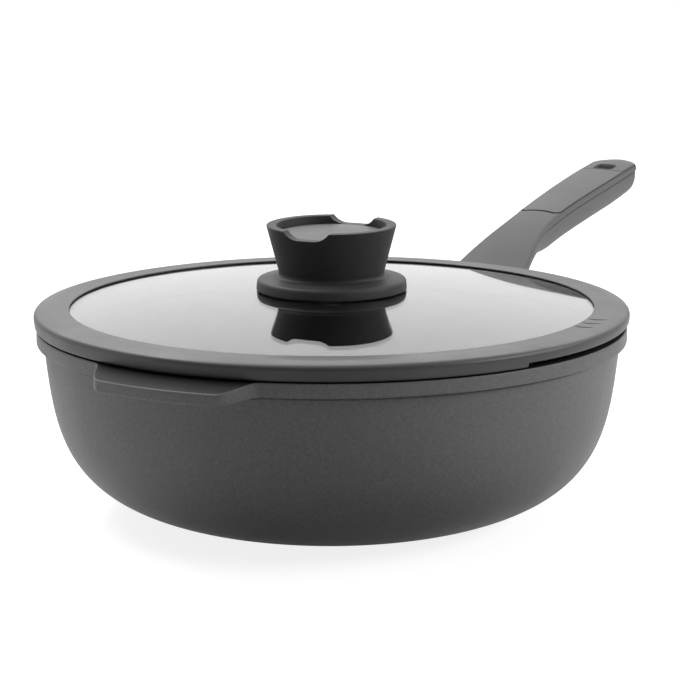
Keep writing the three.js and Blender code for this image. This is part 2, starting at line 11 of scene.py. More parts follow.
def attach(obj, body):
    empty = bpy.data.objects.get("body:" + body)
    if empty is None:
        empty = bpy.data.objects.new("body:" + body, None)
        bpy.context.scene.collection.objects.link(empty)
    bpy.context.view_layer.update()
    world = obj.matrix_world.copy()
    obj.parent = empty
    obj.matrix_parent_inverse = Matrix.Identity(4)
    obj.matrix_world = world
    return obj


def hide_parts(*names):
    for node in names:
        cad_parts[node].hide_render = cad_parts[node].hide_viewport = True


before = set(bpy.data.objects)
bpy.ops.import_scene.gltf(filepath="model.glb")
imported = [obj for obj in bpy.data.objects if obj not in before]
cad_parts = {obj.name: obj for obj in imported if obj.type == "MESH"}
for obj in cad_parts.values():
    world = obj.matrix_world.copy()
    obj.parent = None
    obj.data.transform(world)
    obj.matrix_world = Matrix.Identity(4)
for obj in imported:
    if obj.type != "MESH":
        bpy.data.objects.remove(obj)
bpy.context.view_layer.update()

# Wok
# One aluminium casting: a deep round bowl whose thick rim band sweeps out into a lug at the front.
# It is sprayed inside and out with a matte, finely grained non-stick coating that is baked on.
# Its tang lies inside the handle's shells and isn't shown here.
MM = 0.001
seat_gap = 0.3
wok_height = 93.2
rim_radius = 144
band_height = 7.2
band_step = 3.4
band_edge = 1.1
under_band_height = 1.3
under_band_depth = 0.7
under_band_edge = 0.25
rim_chamfer = 0.9
wall_thickness = 3.4
base_thickness = 5
foot_radius = 74.3
foot_edge = 0.8
foot_lift = 0.4
wall_draft = math.radians(6.7)
wall_pull = 40.8
base_slope = math.radians(10.9)
base_pull = 61.4
wall_steps = 44
slope_step = 0.001
lug_reach = 14
lug_lip_half_angle = 11.4
lug_root_half_angle = 18.4
lug_drop = 3.8
lug_sink = 2.2
lug_middle = 180
lug_turn_step = 0.4
rim_turn_step = 1.5
plate_lip = 2.6
plate_thickness = 2
weld_distance = 0.0005
crease_angle = 32
level_top = 0.9
fine_detail = 3
cloud_detail = 4
cloud_span = (0.3, 0.7)


def between(start, end, share):
    """The value at a share of the way from one to another."""
    return start + (end - start) * share


def eased_rise(value, low, high):
    """0 up to the low value and 1 from the high one on, with an eased rise between them."""
    share = min(max((value - low) / (high - low), 0), 1)
    return share * share * (3 - 2 * share)


def curve_point(points, share):
    """A place on a cubic curve in side view."""
    first, second, third, last = (Vector(point) for point in points)
    left = first.lerp(second, share).lerp(second.lerp(third, share), share)
    right = second.lerp(third, share).lerp(third.lerp(last, share), share)
    return left.lerp(right, share)


def eased_outline(corners, steps=5):
    """A closed outline whose (across, up, rounding) corners are eased over that length on both sides."""
    outline = []
    for i, (across, up, rounding) in enumerate(corners):
        corner = Vector((across, up))
        if rounding == 0:
            outline.append(corner)
            continue
        before = Vector(corners[i - 1][:2])
        after = Vector(corners[(i + 1) % len(corners)][:2])
        start = corner + (before - corner).normalized() * rounding
        end = corner + (after - corner).normalized() * rounding
        for step in range(steps + 1):
            share = step / steps
            outline.append(start.lerp(corner, share).lerp(corner.lerp(end, share), share))
    return outline


def finished(name, form):
    """Turns a built mesh into a piece, with doubled corners joined and all faces turned outward."""
    bmesh.ops.remove_doubles(form, verts=form.verts, dist=weld_distance * MM)
    bmesh.ops.recalc_face_normals(form, faces=form.faces)
    data = bpy.data.meshes.new(name)
    form.to_mesh(data)
    form.free()
    piece = bpy.data.objects.new(name, data)
    bpy.context.scene.collection.objects.link(piece)
    return piece


def lofted(name, sections, ring):
    """A closed mesh over like sections in a row: a ring joins last to first, else ends are capped."""
    form = bmesh.new()
    rows = [[form.verts.new(Vector(point) * MM) for point in section] for section in sections]
    pairs = list(zip(rows, rows[1:]))
    if ring:
        pairs.append((rows[-1], rows[0]))
    else:
        form.faces.new(list(reversed(rows[0])))
        form.faces.new(rows[-1])
    for here, ahead in pairs:
        for j in range(len(here)):
            k = (j + 1) % len(here)
            form.faces.new((here[j], here[k], ahead[k], ahead[j]))
    return finished(name, form)


def turned_section(outline, turn):
    """An outline of (radius, height) pairs stood up at a turn about the wok's axis, in degrees."""
    angle = math.radians(turn)
    return [(r * math.cos(angle), r * math.sin(angle), z) for r, z in outline]


def smooth(piece, crease=crease_angle):
    """Shades a piece smoothly, with edges sharper than the crease kept crisp."""
    piece.data.polygons.foreach_set("use_smooth", [True] * len(piece.data.polygons))
    piece.data.set_sharp_from_angle(angle=math.radians(crease))


wall_radius = rim_radius - band_step
band_bottom = wok_height - band_height
wall_curve = (
    (foot_radius, foot_lift),
    (foot_radius + base_pull * math.cos(base_slope), foot_lift + base_pull * math.sin(base_slope)),
    (wall_radius - wall_pull * math.sin(wall_draft), band_bottom - wall_pull * math.cos(wall_draft)),
    (wall_radius, band_bottom),
)
wall_rise_rate = 3 * wall_pull * math.cos(wall_draft)


def wall_line(at_base, at_rim, last_share=1.0):
    """The wall from the base up as (radius, height), set inward by a thickness that changes on the way."""
    line = []
    for step in range(wall_steps + 1):
        share = last_share * step / wall_steps
        here = curve_point(wall_curve, share)
        before = curve_point(wall_curve, share - slope_step)
        after = curve_point(wall_curve, share + slope_step)
        along = (after - before).normalized()
        inset = between(at_base, at_rim, share)
        line.append((here.x - inset * along.y, here.y + inset * along.x))
    return line


inner_wall = wall_line(base_thickness, wall_thickness)
mouth_radius = inner_wall[-1][0]
plate_seat_radius = foot_radius - plate_lip + seat_gap
plate_seat_top = plate_thickness + seat_gap


def turns_apart(turn, middle):
    """How far a turn is from a middle one, in degrees and the short way round."""
    return abs((turn - middle + 180) % 360 - 180)


def wok_outline(turn):
    """The casting's section at a turn: up the outside from the axis, over the rim and down the inside."""
    off_middle = turns_apart(turn, lug_middle)
    lug = 1 - eased_rise(off_middle, lug_lip_half_angle, lug_root_half_angle)
    outer = rim_radius + lug_reach * lug
    top = wok_height - lug_drop * lug
    bottom = band_bottom - lug_sink * lug
    outside = wall_line(0, 0, 1 - (lug_sink * lug + under_band_height) / wall_rise_rate)
    corners = [
        (0, plate_seat_top, 0),
        (plate_seat_radius, plate_seat_top, 0),
        (plate_seat_radius, foot_lift, 0),
        (*outside[0], foot_edge),
        *((r, z, 0) for r, z in outside[1:-1]),
        (*outside[-1], under_band_edge),
        (outside[-1][0] - under_band_depth, bottom, under_band_edge),
        (outer, bottom, band_edge),
        (outer, top, band_edge),
        (rim_radius - 2 * band_edge, wok_height, 0),
        (mouth_radius + rim_chamfer, wok_height, rim_chamfer / 2),
        (mouth_radius, wok_height - rim_chamfer, rim_chamfer / 2),
        *((r, z, 0) for r, z in reversed(inner_wall)),
        (0, inner_wall[0][1], 0),
    ]
    return eased_outline(corners)


def turns(step, fine_step, fine_middle, fine_half):
    """Turns right round in degrees: fine ones near one place and wider ones over the rest."""
    fine_count = round(2 * fine_half / fine_step)
    wide_count = round((360 - 2 * fine_half) / step)
    fine = [fine_middle - fine_half + 2 * fine_half * i / fine_count for i in range(fine_count)]
    wide = [fine_middle + fine_half + (360 - 2 * fine_half) * i / wide_count for i in range(wide_count)]
    return fine + wide


def ranged(tree, value, source, target, eased=False):
    """A value carried over from one span of numbers to another, evenly or with eased ends."""
    node = tree.nodes.new("ShaderNodeMapRange")
    node.interpolation_type = "SMOOTHSTEP" if eased else "LINEAR"
    for socket, number in zip(("From Min", "From Max", "To Min", "To Max"), (*source, *target)):
        node.inputs[socket].default_value = number
    tree.links.new(value, node.inputs["Value"])
    return node.outputs["Result"]


def grained_finish(name, dark, light, roughness, grain, relief, gloss_level=0.5, metallic=0.0, cloud=0.03):
    """A finish of fine grain: two close tones, a roughness that drifts in clouds, and a shallow relief.
    Grain and cloud are sizes in metres, relief is the depth of the grain in metres."""
    material = bpy.data.materials.new(name)
    material.use_nodes = True
    tree = material.node_tree
    nodes = tree.nodes
    links = tree.links
    surface = nodes["Principled BSDF"]
    surface.inputs["Metallic"].default_value = metallic
    surface.inputs["Specular IOR Level"].default_value = gloss_level
    place = nodes.new("ShaderNodeTexCoord")
    noises = []
    for size, detail in ((grain, fine_detail), (cloud, cloud_detail)):
        noise = nodes.new("ShaderNodeTexNoise")
        noise.inputs["Scale"].default_value = 1 / size
        noise.inputs["Detail"].default_value = detail
        links.new(place.outputs["Object"], noise.inputs["Vector"])
        noises.append(noise.outputs["Fac"])
    fine, clouds = noises
    tones = nodes.new("ShaderNodeMix")
    tones.data_type = "RGBA"
    tones.inputs["A"].default_value = (*dark, 1)
    tones.inputs["B"].default_value = (*light, 1)
    links.new(fine, tones.inputs["Factor"])
    links.new(tones.outputs["Result"], surface.inputs["Base Color"])
    links.new(ranged(tree, clouds, cloud_span, roughness), surface.inputs["Roughness"])
    bump = nodes.new("ShaderNodeBump")
    bump.inputs["Distance"].default_value = relief
    links.new(fine, bump.inputs["Height"])
    links.new(bump.outputs["Normal"], surface.inputs["Normal"])
    return material


lug_span = lug_root_half_angle + rim_turn_step
wok_turns = turns(rim_turn_step, lug_turn_step, lug_middle, lug_span)
wok_bowl = lofted("wok_bowl", [turned_section(wok_outline(turn), turn) for turn in wok_turns], ring=True)
smooth(wok_bowl)
coating = grained_finish(
    "matte_coating", dark=(0.078, 0.078, 0.080), light=(0.154, 0.154, 0.156),
    roughness=(0.48, 0.56), grain=0.0013, relief=0.00006, gloss_level=0.3)
# The inside coating also serves as painted shade on the lug's top.
inside_coating_and_painted_shade = grained_finish(
    "inside_coating_and_painted_shade", dark=(0.010, 0.010, 0.011), light=(0.022, 0.022, 0.023),
    roughness=(0.55, 0.63), grain=0.0013, relief=0.00004, gloss_level=0.12)
wok_bowl.data.materials.append(coating)
wok_bowl.data.materials.append(inside_coating_and_painted_shade)
for face in wok_bowl.data.polygons:
    middle = face.center / MM
    across = Vector((middle.x, middle.y))
    on_wall = across.length > foot_radius and across.dot(Vector((face.normal.x, face.normal.y))) < 0
    on_floor = across.length <= foot_radius and middle.z > plate_seat_top + seat_gap
    # On the lug's top the near-black inside coating is painted shade for the lid ring's shadow over it.
    rim_top_and_painted_shade = face.normal.z > level_top and middle.z > wok_height - lug_drop - rim_chamfer
    face.material_index = 1 if on_wall or on_floor or rim_top_and_painted_shade else 0
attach(wok_bowl, "wok")
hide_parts("wok_body")

# Base plate
# A disc of magnetic stainless steel pressed into the underside of the casting for induction hobs.
# Its face is turned on a lathe, which leaves shallow rings.
plate_chamfer = 0.3
groove_count = 16
groove_depth = 0.12
groove_half_width = 0.5
plate_turn_step = 2
plate_crease = 20
tool_mark_gain = 1.25
tool_mark_wobble = 0.6
plate_radius = foot_radius - plate_lip
groove_pitch = (plate_radius - plate_chamfer) / (groove_count + 1)


def plate_outline():
    """The plate's section from its axis out along the grooved underside and back over the top."""
    outline = [(0, 0)]
    for i in range(1, groove_count + 1):
        middle = i * groove_pitch
        outline.append((middle - groove_half_width, 0))
        outline.append((middle, groove_depth))
        outline.append((middle + groove_half_width, 0))
    outline += [(plate_radius - plate_chamfer, 0), (plate_radius, plate_chamfer)]
    outline += [(plate_radius, plate_thickness), (0, plate_thickness)]
    return outline


def lathed(name, outline, step):
    """A closed piece of one outline carried right round the axis, in steps of so many degrees."""
    return lofted(name, [turned_section(outline, step * i) for i in range(round(360 / step))], ring=True)


def turned_finish(name, tone, ring_size, roughness):
    """Bare metal with the fine rings of a lathe tool in its tone and relief; the ring size is in metres."""
    material = grained_finish(
        name, dark=tone, light=tuple(min(1, tool_mark_gain * part) for part in tone), roughness=roughness,
        grain=0.0015, relief=0.00001, metallic=1.0)
    nodes = material.node_tree.nodes
    links = material.node_tree.links
    rings = nodes.new("ShaderNodeTexWave")
    rings.wave_type = "RINGS"
    rings.rings_direction = "Z"
    rings.inputs["Scale"].default_value = 1 / ring_size
    rings.inputs["Distortion"].default_value = tool_mark_wobble
    links.new(nodes["Texture Coordinate"].outputs["Object"], rings.inputs["Vector"])
    links.new(rings.outputs["Fac"], nodes["Mix"].inputs["Factor"])
    links.new(rings.outputs["Fac"], nodes["Bump"].inputs["Height"])
    return material


base_plate = lathed("base_plate", plate_outline(), plate_turn_step)
smooth(base_plate, crease=plate_crease)
base_plate.data.materials.append(turned_finish(
    "turned_steel", tone=(0.42, 0.42, 0.43), ring_size=0.004, roughness=(0.28, 0.36)))
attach(base_plate, "wok")
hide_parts("induction_plate")

# Lower handle shell
# The underside of the handle: a moulded half with a round belly, screwed to a tang on the casting.
# It carries the seam, the lower mouth of the hanging eye and the sunk hole for the screw.
handle_reach = 179.3
handle_rise = 42.4
grip_slope = math.radians(8.8)
grip_pull = 130
neck_slope = math.radians(29)
neck_pull = 79
neck_sink = 14.6
neck_bury = 5
root_half_width = 25.2
waist_half_width = 12.7
grip_half_width = 14.1
waist_reach = 72
grip_reach = 145
neck_side = 2.4
grip_side = 3.9
neck_depth = 11.5
grip_depth = 15.2
tip_depth = 13.8
slim_reach = 46
full_reach = 74
tip_length = 14
tip_drop = 2
tip_blunt = 0.05
seam_step = 0.6
seam_groove = 0.8
belly_fullness = 2.4
edge_share = 0.45
handle_steps = 84
tip_steps = 22
belly_steps = 32
reach_tolerance = 1e-5
eye_inset = 22.8
eye_width = 11.6
eye_length = 8
eye_corner = 2.4
eye_flare = 0.25
eye_corner_steps = 8
tang_thickness = 4.2
handle_screw_reach = 40
screw_radius = 2.5
washer_radius = 5
washer_thickness = 1
screw_grip = 1.8
bore_clearance = 0.5
cut_margin = 2
bore_sides = 48
wok_cut_step = 2.5
most_corners = 4
neck_root = -(band_step + wall_thickness + neck_bury)
handle_top_line = (
    (neck_root, -neck_sink),
    (neck_root + neck_pull * math.cos(neck_slope), neck_pull * math.sin(neck_slope) - neck_sink),
    (handle_reach - grip_pull * math.cos(grip_slope), handle_rise - grip_pull * math.sin(grip_slope)),
    (handle_reach, handle_rise),
)


def share_at_reach(reach):
    """The share of the handle's top line at which it has come out to a reach from the rim."""
    low, high = 0.0, 1.0
    while high - low > reach_tolerance:
        middle = (low + high) / 2
        if curve_point(handle_top_line, middle).x < reach:
            low = middle
        else:
            high = middle
    return low


def handle_form(share):
    """Place, half-width and heights of the handle at a share of its top line."""
    reach, rise = curve_point(handle_top_line, share)
    to_waist = eased_rise(reach, neck_root, waist_reach)
    to_grip = eased_rise(reach, waist_reach, grip_reach)
    straight = between(between(root_half_width, waist_half_width, to_waist), grip_half_width, to_grip)
    into_tip = min(max(0, reach - (handle_reach - tip_length)) / tip_length, 1)
    to_full = eased_rise(reach, slim_reach, full_reach)
    to_tip = eased_rise(reach, grip_reach, handle_reach)
    top = wok_height + rise - tip_drop * into_tip ** 2
    return {
        "x": rim_radius + reach,
        "half_width": straight * max(math.sqrt(1 - into_tip ** 2), tip_blunt),
        "top": top,
        "seam": top - between(neck_side, grip_side, to_full),
        "depth": between(between(neck_depth, grip_depth, to_full), tip_depth, to_tip),
        "to_tip": to_tip,
    }


def handle_shares():
    """Shares along the handle, closer together round the tip."""
    tip_start = share_at_reach(handle_reach - tip_length)
    along = [tip_start * i / handle_steps for i in range(handle_steps)]
    round_tip = [math.sin(math.pi / 2 * i / tip_steps) for i in range(tip_steps + 1)]
    return along + [between(tip_start, 1, share) for share in round_tip]


def belly_section(form):
    """The lower shell's section: a flat seam, edges cut back for a shadow line, a round belly below."""
    half = form["half_width"] - min(seam_step, edge_share * form["half_width"])
    groove = min(seam_groove, edge_share * half)
    top = form["seam"] - seat_gap
    angles = [math.pi * (1 + i / belly_steps) for i in range(belly_steps + 1)]
    belly = []
    for angle in angles:
        across = math.copysign(abs(math.cos(angle)) ** (2 / belly_fullness), math.cos(angle))
        down = abs(math.sin(angle)) ** (2 / belly_fullness)
        belly.append((half * across, top - groove - (form["depth"] - groove) * down))
    outline = [(groove - half, top), *belly, (half - groove, top)]
    return [(form["x"], y, z) for y, z in outline]


def cut(piece, tool):
    """Takes a tool's form out of a piece, and the tool out of the scene.
    Faces with many corners are then split, and faces with no area are cleared away."""
    knife = piece.modifiers.new("cut", "BOOLEAN")
    knife.operation = "DIFFERENCE"
    knife.solver = "EXACT"
    knife.object = tool
    view = bpy.context.evaluated_depsgraph_get()
    shaped = bpy.data.meshes.new_from_object(piece.evaluated_get(view))
    form = bmesh.new()
    form.from_mesh(shaped)
    many_sided = [face for face in form.faces if len(face.verts) > most_corners]
    bmesh.ops.triangulate(form, faces=many_sided, ngon_method="BEAUTY")
    bmesh.ops.dissolve_degenerate(form, edges=form.edges, dist=weld_distance * MM)
    form.to_mesh(shaped)
    form.free()
    piece.modifiers.clear()
    piece.data = shaped
    bpy.data.objects.remove(tool)


def wok_cutter():
    """The wok's outside with a small gap round it, which the neck of the handle is trimmed to."""
    outline = [(0, foot_lift), *wall_line(-seat_gap, -seat_gap)]
    outline += [(rim_radius + seat_gap, band_bottom - seat_gap), (rim_radius + seat_gap, wok_height)]
    outline += [(0, wok_height)]
    return lathed("wok_cutter", outline, wok_cut_step)


def eye_cutter():
    """An upright oblong with round corners, slightly flared at the handle's top and its underside."""
    share = share_at_reach(handle_reach - eye_inset)
    form = handle_form(share)
    ahead = handle_form(share + slope_step)
    slope = (ahead["top"] - form["top"]) / (ahead["x"] - form["x"])
    top = form["top"]
    bottom = form["seam"] - form["depth"]
    levels = [
        (bottom - cut_margin, 2 * eye_flare), (bottom, eye_flare), (bottom + eye_flare / 2, eye_flare / 3),
        (bottom + 2 * eye_flare, 0), (top - 2 * eye_flare, 0), (top - eye_flare / 2, eye_flare / 3),
        (top + eye_flare / 2, eye_flare), (top + cut_margin, 2 * eye_flare),
    ]
    along = eye_length / 2 - eye_corner
    across = eye_width / 2 - eye_corner
    corners = ((along, across), (-along, across), (-along, -across), (along, -across))
    sections = []
    for height, flare in levels:
        section = []
        for i, (corner_x, corner_y) in enumerate(corners):
            for step in range(eye_corner_steps + 1):
                angle = math.pi / 2 * (i + step / eye_corner_steps)
                x = corner_x + (eye_corner + flare) * math.cos(angle)
                y = corner_y + (eye_corner + flare) * math.sin(angle)
                section.append((form["x"] + x, y, height + slope * x))
        sections.append(section)
    return lofted("eye_cutter", sections, ring=False)


screw_share = share_at_reach(handle_screw_reach)
screw_form = handle_form(screw_share)
form_ahead = handle_form(screw_share + slope_step)
screw_tilt = math.atan2(form_ahead["seam"] - screw_form["seam"], form_ahead["x"] - screw_form["x"])
screw_foot = Vector((screw_form["x"], 0, screw_form["seam"] - 2 * seat_gap - tang_thickness))
screw_frame = Matrix.Translation(screw_foot * MM) @ Matrix.Rotation(-screw_tilt, 4, "Y")
washer_top = -screw_grip


def bore_cutter():
    """The stepped hole for the handle's screw and washer, square to the tang."""
    wide = washer_radius + bore_clearance
    narrow = screw_radius + seat_gap
    step_height = washer_top + seat_gap
    outline = [(0, -2 * neck_depth), (wide, -2 * neck_depth), (wide, step_height)]
    outline += [(narrow, step_height), (narrow, tang_thickness), (0, tang_thickness)]
    tool = lathed("bore_cutter", outline, 360 / bore_sides)
    tool.data.transform(screw_frame)
    return tool


handle_forms = [handle_form(share) for share in handle_shares()]
lower_shell = lofted("lower_shell", [belly_section(form) for form in handle_forms], ring=False)
for tool in (wok_cutter(), eye_cutter(), bore_cutter()):
    cut(lower_shell, tool)
smooth(lower_shell)
shell_plastic = grained_finish(
    "handle_plastic", dark=(0.124, 0.124, 0.126), light=(0.153, 0.153, 0.155),
    roughness=(0.60, 0.68), grain=0.0007, relief=0.00003, gloss_level=0.16)
lower_shell.data.materials.append(shell_plastic)
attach(lower_shell, "wok")
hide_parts("handle_lower")

# Handle screw and washer
# A steel machine screw with a round head and a crossed recess, driven up through the lower shell
# into the tang, with a spring washer, made here as a plain ring, under its head.
head_radius = 4.6
head_height = 2.2
head_edge = 0.8
screw_cover = 0.6
recess_width = 1.2
recess_length = 4.4
recess_depth = 1.3
screw_turn_step = 7.5


def dress(node, finish):
    """Gives a finish to a solid that is shown as it was built."""
    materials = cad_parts[node].data.materials
    materials.clear()
    materials.append(finish)


def bar(name, low, high):
    """A plain upright block between two corners."""
    sides = ((low[0], low[1]), (high[0], low[1]), (high[0], high[1]), (low[0], high[1]))
    return lofted(name, [[(x, y, z) for x, y in sides] for z in (low[2], high[2])], ring=False)


def crossed_screw(name, head_top, tip, head_radius, head_height, head_edge, shank_radius):
    """A screw that points up, its head at the bottom with a crossed recess."""
    head_bottom = head_top - head_height
    corners = [
        (0, head_bottom, 0),
        (head_radius, head_bottom, head_edge),
        (head_radius, head_top, head_edge / 4),
        (shank_radius, head_top, 0),
        (shank_radius, tip, head_edge / 2),
        (0, tip, 0),
    ]
    screw = lathed(name, eased_outline(corners), screw_turn_step)
    for length, width in ((recess_length, recess_width), (recess_width, recess_length)):
        low = (-length / 2, -width / 2, head_bottom - cut_margin)
        high = (length / 2, width / 2, head_bottom + recess_depth)
        cut(screw, bar("recess_cutter", low, high))
    smooth(screw)
    return screw


head_top = washer_top - washer_thickness - seat_gap
screw_tip = tang_thickness * math.cos(screw_tilt) - screw_cover
handle_screw = crossed_screw(
    "handle_screw_turned", head_top, screw_tip, head_radius, head_height, head_edge, screw_radius)
handle_screw.data.transform(screw_frame)
plain_steel = turned_finish(
    "plain_steel", tone=(0.45, 0.46, 0.46), ring_size=0.0015, roughness=(0.25, 0.34))
handle_screw.data.materials.append(plain_steel)
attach(handle_screw, "wok")
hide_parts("handle_screw")
dress("handle_washer", plain_steel)

# Upper handle shell
# The top half of the handle, moulded in the same dark plastic and clipped to the lower half.
# It flares into the neck at the wok, holds the soft pad in a pocket and ends round the hanging eye.
handle_edge = 2.2
tip_edge = 3.4
shoulder_share = 0.9
seam_bevel = 0.5
handle_crown = 0.9
shoulder_steps = 6
crown_steps = 10
inlay_start = 76
inlay_front_arch = 0.8
inlay_arch = 2.2
inlay_inset = 1
inlay_thickness = 2.2
inlay_eye_gap = 1.5
inlay_corner = 4.5
inlay_steps = 40
inlay_cross_steps = 30
pad_clearance = 0.45
front_groove = 1
rail_end = 6
rail_groove = 0.8
rail_steps = 16


def shoulder_size(form):
    """Rounding of the top's sides, which grows toward the tip."""
    side = form["top"] - form["seam"]
    wanted = between(handle_edge, tip_edge, form["to_tip"])
    return min(wanted, edge_share * form["half_width"], shoulder_share * side)


def top_height(form, y):
    """Height of the upper shell at a distance from its middle: a slight crown between rounded shoulders."""
    edge = shoulder_size(form)
    flat = form["half_width"] - edge
    over = abs(y) - flat
    if over > 0:
        return form["top"] - edge + math.sqrt(max(0, edge ** 2 - over ** 2))
    crown = handle_crown * form["half_width"] / grip_half_width
    return form["top"] + crown * (1 - (y / flat) ** 2)


def top_section(form):
    """The upper shell's section: a flat seam with bevelled edges, rounded shoulders, a slight crown."""
    edge = shoulder_size(form)
    flat = form["half_width"] - edge
    angles = [math.pi / 2 * i / shoulder_steps for i in range(shoulder_steps + 1)]
    shoulder = [(flat + edge * math.cos(a), form["top"] - edge + edge * math.sin(a)) for a in angles]
    across = [flat * (1 - 2 * i / crown_steps) for i in range(1, crown_steps)]
    crest = [(y, top_height(form, y)) for y in across]
    mirrored = [(-y, z) for y, z in reversed(shoulder)]
    half = form["half_width"]
    seam = form["seam"]
    bevel = min(seam_bevel, (form["top"] - seam - edge) / 2)
    below = [(-half, seam + bevel), (bevel - half, seam), (half - bevel, seam), (half, seam + bevel)]
    return [(form["x"], y, z) for y, z in below + shoulder + crest + mirrored]


def slab(name, over, under):
    """A closed mesh between two sheets of like rows of places, one over the other."""
    form = bmesh.new()
    sheets = []
    for sheet in (over, under):
        sheets.append([[form.verts.new(Vector(point) * MM) for point in row] for row in sheet])
    for rows in sheets:
        for here, ahead in zip(rows, rows[1:]):
            for j in range(len(here) - 1):
                form.faces.new((here[j], here[j + 1], ahead[j + 1], ahead[j]))
    borders = []
    for rows in sheets:
        far_side = [row[-1] for row in rows[1:]]
        near_side = [row[0] for row in rows[-2:0:-1]]
        borders.append(rows[0] + far_side + rows[-1][-2::-1] + near_side)
    for j in range(len(borders[0])):
        form.faces.new((borders[0][j - 1], borders[0][j], borders[1][j], borders[1][j - 1]))
    return finished(name, form)


def pad_sheet(name, clearance, front, low, high):
    """A slab that follows the top of the grip in the pad's plan, grown by a clearance and more in front,
    between two heights above the grip.
    Its sides keep to the shell's edge, both its ends are bowed and its front has round corners."""
    end_reach = handle_reach - eye_inset - eye_length / 2 - inlay_eye_gap + inlay_arch
    corner_share = inlay_corner / grip_half_width
    over, under = [], []
    for i in range(inlay_steps + 1):
        along = i / inlay_steps
        over.append([])
        under.append([])
        for j in range(inlay_cross_steps + 1):
            across = math.cos(math.pi * j / inlay_cross_steps)
            into_corner = max(0, abs(across) - 1 + corner_share) / corner_share
            cut_corner = inlay_corner * (1 - math.sqrt(1 - min(into_corner, 1) ** 2))
            start = inlay_start - front + inlay_front_arch * (1 - across ** 2) + cut_corner
            end = end_reach + clearance - inlay_arch * (1 - across ** 2)
            reach = between(start, end, along)
            form = handle_form(share_at_reach(reach))
            y = across * (form["half_width"] - inlay_inset + clearance)
            height = top_height(form, y)
            over[-1].append((form["x"], y, height + high))
            under[-1].append((form["x"], y, height + low))
    return slab(name, over, under)


def rail_cutter(side):
    """A fine groove that carries the line of the pad's side on past the pad to the tip."""
    start = handle_reach - eye_inset - eye_length
    sections = []
    for i in range(rail_steps + 1):
        form = handle_form(share_at_reach(between(start, handle_reach - rail_end, i / rail_steps)))
        y = form["half_width"] - inlay_inset
        z = top_height(form, y)
        diamond = (
            (y - rail_groove, z), (y, z - 2 * rail_groove), (y + rail_groove, z), (y, z + rail_groove))
        sections.append([(form["x"], side * across, height) for across, height in diamond])
    return lofted("rail_cutter", sections, ring=False)


upper_shell = lofted("upper_shell", [top_section(form) for form in handle_forms], ring=False)
pocket = pad_sheet(
    "pocket_cutter", clearance=pad_clearance, front=pad_clearance + front_groove,
    low=-inlay_thickness - seat_gap, high=cut_margin)
for tool in (pocket, wok_cutter(), eye_cutter(), rail_cutter(1), rail_cutter(-1)):
    cut(upper_shell, tool)
smooth(upper_shell)
upper_shell.data.materials.append(shell_plastic)
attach(upper_shell, "wok")
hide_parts("handle_upper")

# Soft pad
# A soft-touch rubber pad set flush in the top of the grip and glued there.
# It has a little room in its pocket and slightly rounded edges, which leaves a dark line all round it.
pad_edge = 0.25
pad_shrink = 0.2
pad_edge_steps = 3
pad_edge_angle = 50
soft_pad = pad_sheet("soft_pad", clearance=-pad_shrink, front=-pad_shrink, low=-inlay_thickness, high=0)
pad_rounding = soft_pad.modifiers.new("rounded_edge", "BEVEL")
pad_rounding.width = pad_edge * MM
pad_rounding.segments = pad_edge_steps
pad_rounding.limit_method = "ANGLE"
pad_rounding.angle_limit = math.radians(pad_edge_angle)
smooth(soft_pad)
soft_pad.data.materials.append(grained_finish(
    "pad_rubber", dark=(0.112, 0.112, 0.115), light=(0.140, 0.140, 0.144),
    roughness=(0.56, 0.64), grain=0.0006, relief=0.00003, gloss_level=0.2))
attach(soft_pad, "wok")
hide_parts("handle_inlay")

# Glass pane
# A shallow dome of toughened clear glass with a ground edge and a drilled hole for the knob's screw.
# The soft rim is moulded round its edge.
ring_overhang = 1.5
ring_height = 7.6
ring_rise = 1.5
ring_width = 17.7
glass_thickness = 4
glass_bite = 6.5
glass_edge = 0.6
dome_radius = 915
glass_under_lip = 1
dome_steps = 30
glass_turn_step = 1.5
glass_hole = 3.7
glass_index = 1.5
ring_bottom = wok_height + seat_gap
ring_top = ring_bottom + ring_height
ring_radius = rim_radius + ring_overhang
ring_inner = ring_radius - ring_width
glass_radius = ring_inner + glass_bite
glass_edge_top = ring_top + ring_rise - glass_under_lip


def sag(radius):
    """How far the dome has dropped from its middle at a radius."""
    return dome_radius - math.sqrt(dome_radius ** 2 - radius ** 2)


def dome_height(radius):
    """Height of the glass's upper face at a radius."""
    return glass_edge_top + sag(ring_inner) - sag(radius)


def pane_outline():
    """The pane's section: out along the underside and back over the top, with eased edges."""
    radii = [between(glass_hole, glass_radius, i / dome_steps) for i in range(dome_steps + 1)]
    under = [(r, dome_height(r) - glass_thickness, 0) for r in radii]
    over = [(r, dome_height(r), 0) for r in reversed(radii)]
    corners = under + over
    for corner in (0, len(radii) - 1, len(radii), len(corners) - 1):
        corners[corner] = (*corners[corner][:2], glass_edge)
    return eased_outline(corners)


def clear_glass(name):
    """Clear glass with the faint drifting haze of wiped cookware."""
    material = grained_finish(
        name, dark=(0.93, 0.94, 0.94), light=(0.98, 0.985, 0.985),
        roughness=(0.0, 0.03), grain=0.02, relief=0.000002)
    surface = material.node_tree.nodes["Principled BSDF"]
    surface.inputs["Transmission Weight"].default_value = 1
    surface.inputs["IOR"].default_value = glass_index
    return material


glass_pane = lathed("glass_pane", pane_outline(), glass_turn_step)
smooth(glass_pane)
glass_pane.data.materials.append(clear_glass("clear_glass"))
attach(glass_pane, "lid")
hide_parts("lid_glass")
